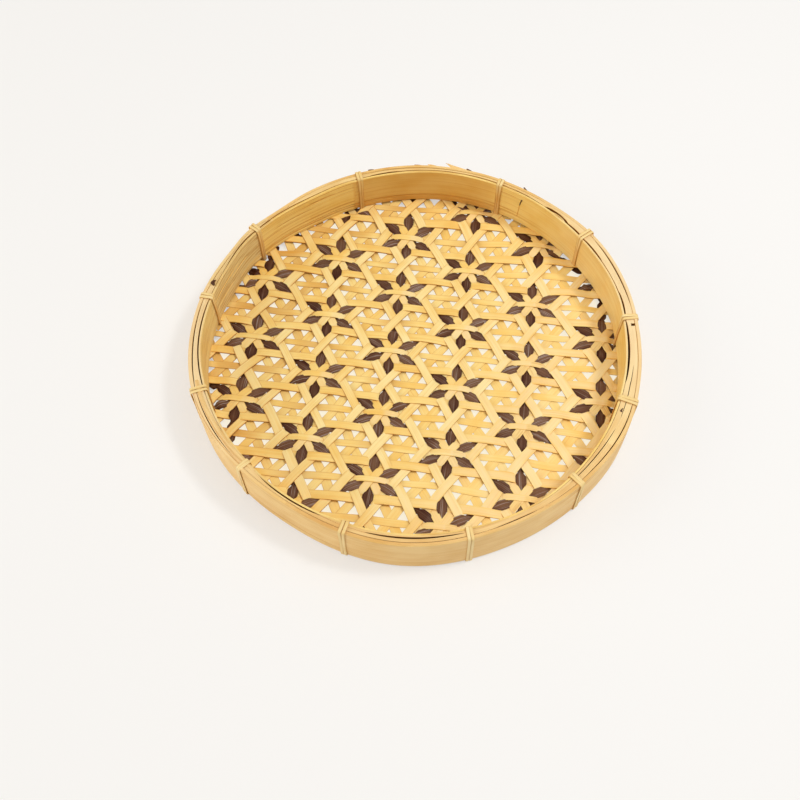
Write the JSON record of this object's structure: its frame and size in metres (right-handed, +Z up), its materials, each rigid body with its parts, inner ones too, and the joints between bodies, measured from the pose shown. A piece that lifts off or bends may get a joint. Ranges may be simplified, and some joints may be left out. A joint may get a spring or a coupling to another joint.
{
  "type": "woven wall plate",
  "caption": "Shallow round bamboo plate: an open flower-patterned woven mat held between two bent hoops that are tied together round the rim.",
  "frame": {"origin": "middle of the plate, on the surface that it rests on", "axes": "+Z up, out of the open side of the plate; +X to the right and +Y away from the viewer in the picture"},
  "size_m": [0.2609, 0.26, 0.032],
  "materials": {
    "hoop_bamboo": "smooth split bamboo, satin, fine long fibres",
    "filler_bamboo": "rough split bamboo edge",
    "binding_strip": "thin split strip, satin",
    "pale_bamboo": "pale split bamboo, satin, fine fibres",
    "black_bamboo": "dyed dark brown to black, satin"
  },
  "bodies": {
    "root": {"binding_01": "binding_strip", "binding_02": "binding_strip", "binding_03": "binding_strip", "binding_04": "binding_strip", "binding_05": "binding_strip", "binding_06": "binding_strip", "binding_07": "binding_strip", "binding_08": "binding_strip", "binding_09": "binding_strip", "binding_10": "binding_strip", "binding_11": "binding_strip", "binding_12": "binding_strip", "black_strips": "black_bamboo", "inner_hoop": "hoop_bamboo", "outer_hoop": "hoop_bamboo", "rim_filler": "filler_bamboo", "star_strips": "pale_bamboo", "wide_strip_a01": "pale_bamboo", "wide_strip_a02": "pale_bamboo", "wide_strip_a03": "pale_bamboo", "wide_strip_a04": "pale_bamboo", "wide_strip_a05": "pale_bamboo", "wide_strip_a06": "pale_bamboo", "wide_strip_a07": "pale_bamboo", "wide_strip_a08": "pale_bamboo", "wide_strip_a09": "pale_bamboo", "wide_strip_a10": "pale_bamboo", "wide_strip_a11": "pale_bamboo", "wide_strip_b01": "pale_bamboo", "wide_strip_b02": "pale_bamboo", "wide_strip_b03": "pale_bamboo", "wide_strip_b04": "pale_bamboo", "wide_strip_b05": "pale_bamboo", "wide_strip_b06": "pale_bamboo", "wide_strip_b07": "pale_bamboo", "wide_strip_b08": "pale_bamboo", "wide_strip_b09": "pale_bamboo", "wide_strip_b10": "pale_bamboo", "wide_strip_c01": "pale_bamboo", "wide_strip_c02": "pale_bamboo", "wide_strip_c03": "pale_bamboo", "wide_strip_c04": "pale_bamboo", "wide_strip_c05": "pale_bamboo", "wide_strip_c06": "pale_bamboo", "wide_strip_c07": "pale_bamboo", "wide_strip_c08": "pale_bamboo", "wide_strip_c09": "pale_bamboo"}
  },
  "joints": []
}
